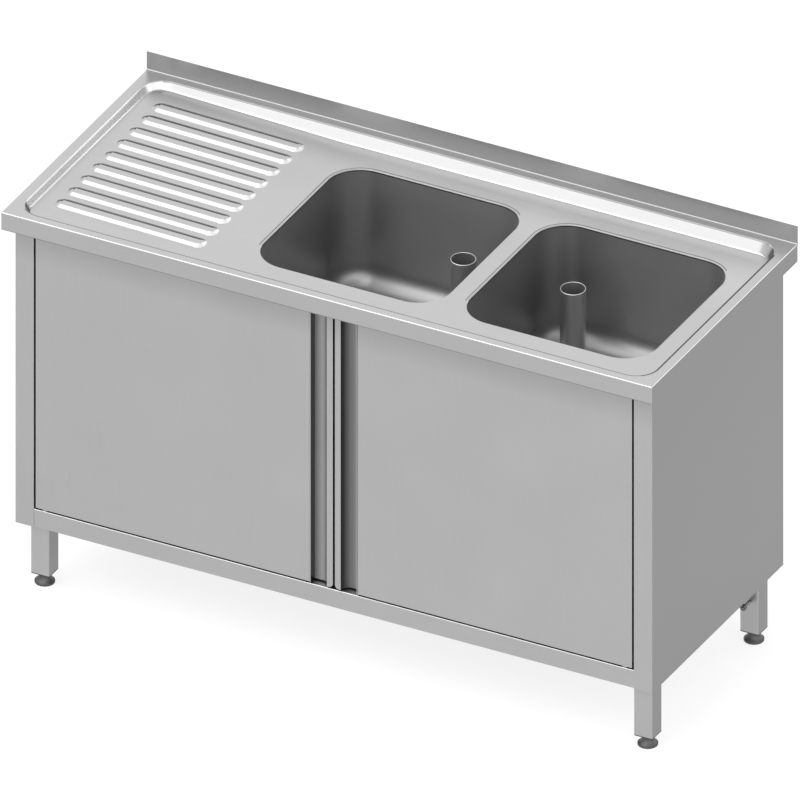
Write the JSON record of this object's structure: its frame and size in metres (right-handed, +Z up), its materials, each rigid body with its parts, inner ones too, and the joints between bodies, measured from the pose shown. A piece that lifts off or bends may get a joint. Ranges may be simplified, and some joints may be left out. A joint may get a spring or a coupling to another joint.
{
  "type": "double-bowl sink cabinet",
  "caption": "Stainless sink cabinet with a ribbed drainer on the left, deep square bowls with lift-out standpipes, an upstand, hinged doors and levelling feet.",
  "frame": {"origin": "middle of the footprint, on the floor under the feet", "axes": "+X along the length, away from the drainer; +Y towards the wall; +Z up"},
  "size_m": [1.4, 0.6, 0.89],
  "materials": {
    "sheet_steel": "satin",
    "bowl_steel": "satin",
    "tube_steel": "satin",
    "fastener_steel": "bright",
    "foot_grey": "satin",
    "black_plastic": "matte",
    "grey_plastic": "matte",
    "rubber": "matte"
  },
  "bodies": {
    "cabinet": {"worktop": "sheet_steel", "recessed_field": "sheet_steel", "left_bowl": "bowl_steel", "right_bowl": "bowl_steel", "worktop_stiffeners": "sheet_steel", "front_top_rail": "sheet_steel", "rear_top_rail": "sheet_steel", "left_side_panel": "sheet_steel", "right_side_panel": "sheet_steel", "back_panel": "sheet_steel", "base_shelf": "sheet_steel", "front_left_leg": "sheet_steel", "front_right_leg": "sheet_steel", "rear_left_leg": "sheet_steel", "rear_right_leg": "sheet_steel", "front_left_plug": "black_plastic", "front_right_plug": "black_plastic", "rear_left_plug": "black_plastic", "rear_right_plug": "black_plastic", "hinge_bushes": "grey_plastic", "magnetic_catches": "black_plastic", "left_waste": "tube_steel", "right_waste": "tube_steel", "waste_gaskets": "rubber", "lock_nuts": "grey_plastic", "slip_nuts": "grey_plastic", "slip_seals": "rubber", "waste_elbow": "grey_plastic", "crossover_pipe": "grey_plastic", "waste_tee": "grey_plastic", "pipe_couplings": "grey_plastic", "trap_body": "grey_plastic", "trap_cup": "grey_plastic", "outlet_pipe": "grey_plastic", "earthing_stud": "fastener_steel", "earthing_nut": "fastener_steel", "leg_bolts": "fastener_steel", "leg_nuts": "fastener_steel", "rail_screws": "fastener_steel"},
    "left_door": {"left_door": "sheet_steel", "left_door_liner": "sheet_steel", "left_door_stiffener": "sheet_steel", "left_handle": "sheet_steel", "left_hinge_blocks": "black_plastic", "left_hinge_pins": "fastener_steel", "left_strike_plate": "sheet_steel"},
    "left_standpipe": {"left_standpipe": "tube_steel", "left_standpipe_seal": "rubber"},
    "right_door": {"right_door": "sheet_steel", "right_door_liner": "sheet_steel", "right_door_stiffener": "sheet_steel", "right_handle": "sheet_steel", "right_hinge_blocks": "black_plastic", "right_hinge_pins": "fastener_steel", "right_strike_plate": "sheet_steel"},
    "right_standpipe": {"right_standpipe": "tube_steel", "right_standpipe_seal": "rubber"},
    "front_left_foot": {"front_left_foot": "foot_grey"},
    "front_right_foot": {"front_right_foot": "foot_grey"},
    "rear_left_foot": {"rear_left_foot": "foot_grey"},
    "rear_right_foot": {"rear_right_foot": "foot_grey"}
  },
  "joints": [
    {"name": "left_door_hinge", "type": "hinge", "parent": "cabinet", "child": "left_door", "pos_m": [-0.6235, -0.26, 0.5], "axis": [0, 0, -1], "range_deg": [0, 110]},
    {"name": "right_door_hinge", "type": "hinge", "parent": "cabinet", "child": "right_door", "pos_m": [0.6235, -0.26, 0.5], "axis": [0, 0, 1], "range_deg": [0, 110]},
    {"name": "left_standpipe_lift", "type": "slide", "parent": "cabinet", "child": "left_standpipe", "axis": [0, 0, 1], "range_m": [0, 0.33]},
    {"name": "right_standpipe_lift", "type": "slide", "parent": "cabinet", "child": "right_standpipe", "axis": [0, 0, 1], "range_m": [0, 0.33]},
    {"name": "front_left_foot_screw", "type": "slide", "parent": "cabinet", "child": "front_left_foot", "axis": [0, 0, -1], "range_m": [0, 0.03]},
    {"name": "front_right_foot_screw", "type": "slide", "parent": "cabinet", "child": "front_right_foot", "axis": [0, 0, -1], "range_m": [0, 0.03]},
    {"name": "rear_left_foot_screw", "type": "slide", "parent": "cabinet", "child": "rear_left_foot", "axis": [0, 0, -1], "range_m": [0, 0.03]},
    {"name": "rear_right_foot_screw", "type": "slide", "parent": "cabinet", "child": "rear_right_foot", "axis": [0, 0, -1], "range_m": [0, 0.03]}
  ]
}
